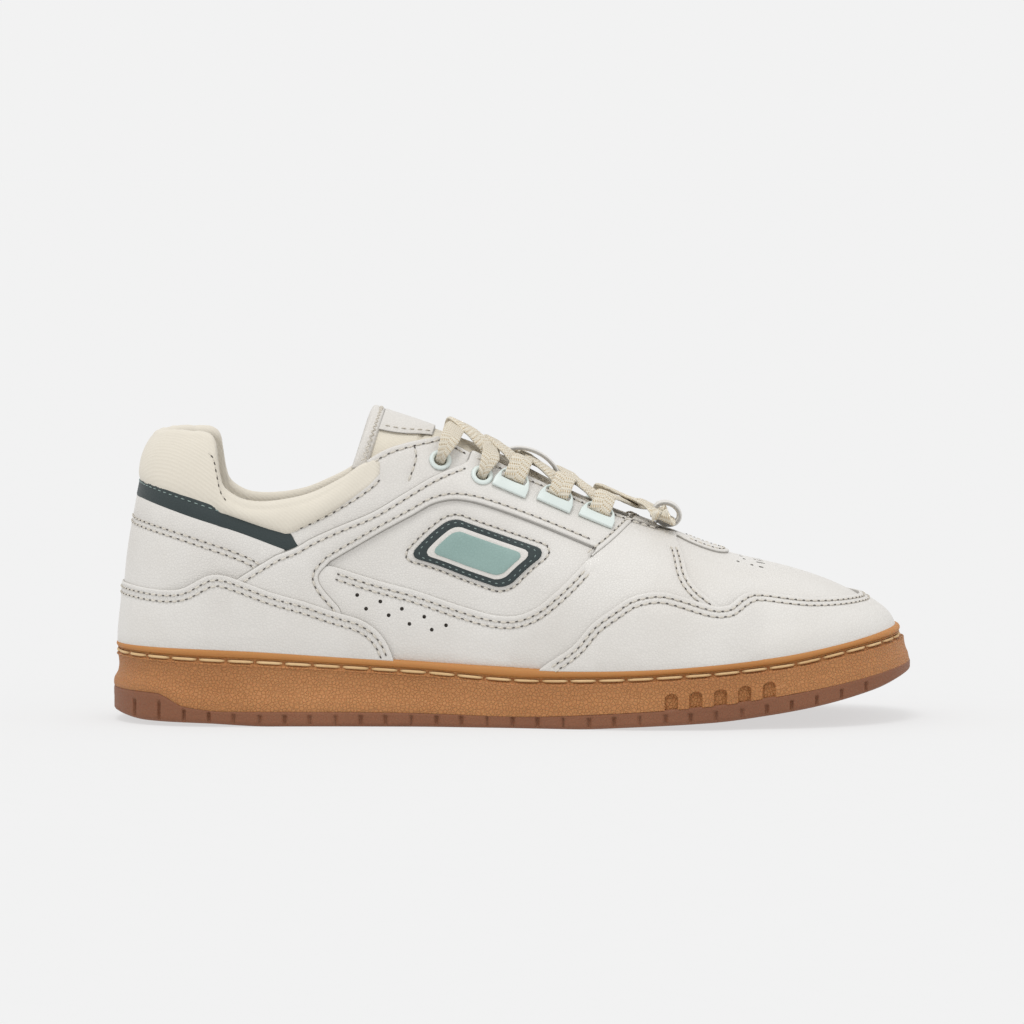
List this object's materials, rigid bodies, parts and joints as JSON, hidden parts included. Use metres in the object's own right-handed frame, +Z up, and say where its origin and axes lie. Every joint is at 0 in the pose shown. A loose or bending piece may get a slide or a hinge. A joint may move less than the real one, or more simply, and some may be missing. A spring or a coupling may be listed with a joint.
{
  "type": "court shoe",
  "caption": "Low-top leather court shoe: layered panels, padded collar and tongue, flat lace through moulded loops, stitched gum rubber cupsole.",
  "frame": {"origin": "on the tread's flat face, at the centre of the shoe's outer box", "axes": "+X along the shoe towards the toe, -Y towards the outer (lateral) side of a right foot, +Z up"},
  "size_m": [0.3, 0.1097, 0.1185],
  "materials": {
    "leather": "soft off-white full-grain leather",
    "perforated_leather": "off-white leather, perforated",
    "green_leather": "dark slate green leather",
    "mint_leather": "mint green synthetic leather",
    "collar_textile": "cream lining textile",
    "tongue_textile": "cream woven textile",
    "lining_textile": "cream brushed lining",
    "lace_textile": "flat woven cotton lace with tan flecks",
    "thread": "waxed sewing thread",
    "gum_rubber": "tan gum rubber, fine grain",
    "tread_rubber": "darker gum rubber",
    "loop_plastic": "milky moulded polyurethane",
    "foam": "moulded cushioning foam",
    "board": "fibre board",
    "stiffener": "thermoplastic stiffener sheet"
  },
  "bodies": {
    "shoe": {"badge_inlay_lateral": "mint_leather", "badge_inlay_medial": "mint_leather", "badge_lateral": "green_leather", "badge_medial": "green_leather", "collar_padding": "collar_textile", "cupsole": "gum_rubber", "eyelet_second_lateral": "loop_plastic", "eyelet_second_medial": "loop_plastic", "eyelet_top_lateral": "loop_plastic", "eyelet_top_medial": "loop_plastic", "eyestay_lateral": "leather", "eyestay_medial": "leather", "heel_counter": "stiffener", "heel_foxing": "leather", "heel_lining": "lining_textile", "heel_panel": "leather", "heel_stripe": "green_leather", "lace": "lace_textile", "lace_loop_1_lateral": "loop_plastic", "lace_loop_1_medial": "loop_plastic", "lace_loop_2_lateral": "loop_plastic", "lace_loop_2_medial": "loop_plastic", "lace_loop_3_lateral": "loop_plastic", "lace_loop_3_medial": "loop_plastic", "lasting_board": "board", "midsole_foam": "foam", "outsole": "tread_rubber", "quarter_lining_lateral": "lining_textile", "quarter_lining_medial": "lining_textile", "saddle_lateral": "perforated_leather", "saddle_medial": "perforated_leather", "sockliner": "lining_textile", "sole_stitching": "thread", "strap_lateral": "leather", "strap_medial": "leather", "throat_tab": "leather", "toe_guard": "leather", "toe_puff": "stiffener", "tongue_body": "tongue_textile", "tongue_keeper": "leather", "vamp": "leather", "vamp_lining": "lining_textile", "vamp_loop": "leather", "window_panel_lateral": "leather", "window_panel_medial": "leather"},
    "tongue_end": {"tongue_top": "tongue_textile", "tongue_patch": "leather", "tongue_binding": "leather"}
  },
  "joints": [
    {"name": "tongue_bend", "type": "hinge", "parent": "shoe", "child": "tongue_end", "pos_m": [-0.0192, 0, 0.1026], "axis": [0, 1, 0], "range_deg": [-12, 12], "stiffness_Nm_per_rad": 0.05}
  ]
}
